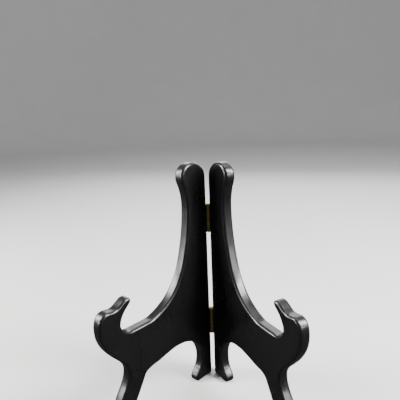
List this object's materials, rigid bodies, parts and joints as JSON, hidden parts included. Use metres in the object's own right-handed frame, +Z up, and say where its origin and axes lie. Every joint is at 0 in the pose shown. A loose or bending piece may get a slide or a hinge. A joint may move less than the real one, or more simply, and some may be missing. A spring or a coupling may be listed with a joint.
{
  "type": "plate display stand",
  "caption": "Folding plate display stand: mirror-image black lacquered wooden side panels with hooked fronts and curved legs, joined at the back by small brass butt hinges.",
  "frame": {"origin": "centre of the bottom of the opened stand's bounding box, on the surface that the feet stand on", "axes": "+Z up, -Y the front where the plate is shown, +X to the right when the stand is seen from the front"},
  "size_m": [0.1574, 0.1052, 0.203],
  "materials": {
    "lacquered_wood": "gloss black lacquer over wood, softly rounded edges",
    "hinge_brass": "pressed and rolled brass sheet, lightly tarnished",
    "pin_brass": "drawn brass rod, satin",
    "screw_brass": "turned brass, slotted heads"
  },
  "bodies": {
    "right_half": {"right_side_panel": "lacquered_wood", "lower_hinge_right_leaf": "hinge_brass", "upper_hinge_right_leaf": "hinge_brass", "lower_right_screw_bottom": "screw_brass", "lower_right_screw_top": "screw_brass", "upper_right_screw_bottom": "screw_brass", "upper_right_screw_top": "screw_brass"},
    "left_half": {"left_side_panel": "lacquered_wood", "lower_hinge_left_leaf": "hinge_brass", "upper_hinge_left_leaf": "hinge_brass", "lower_hinge_pin": "pin_brass", "upper_hinge_pin": "pin_brass", "lower_left_screw_bottom": "screw_brass", "lower_left_screw_top": "screw_brass", "upper_left_screw_bottom": "screw_brass", "upper_left_screw_top": "screw_brass"}
  },
  "joints": [
    {"name": "fold", "type": "hinge", "parent": "right_half", "child": "left_half", "pos_m": [0, 0.04882, 0], "axis": [0, 0, 1], "range_deg": [-110, 70]}
  ]
}
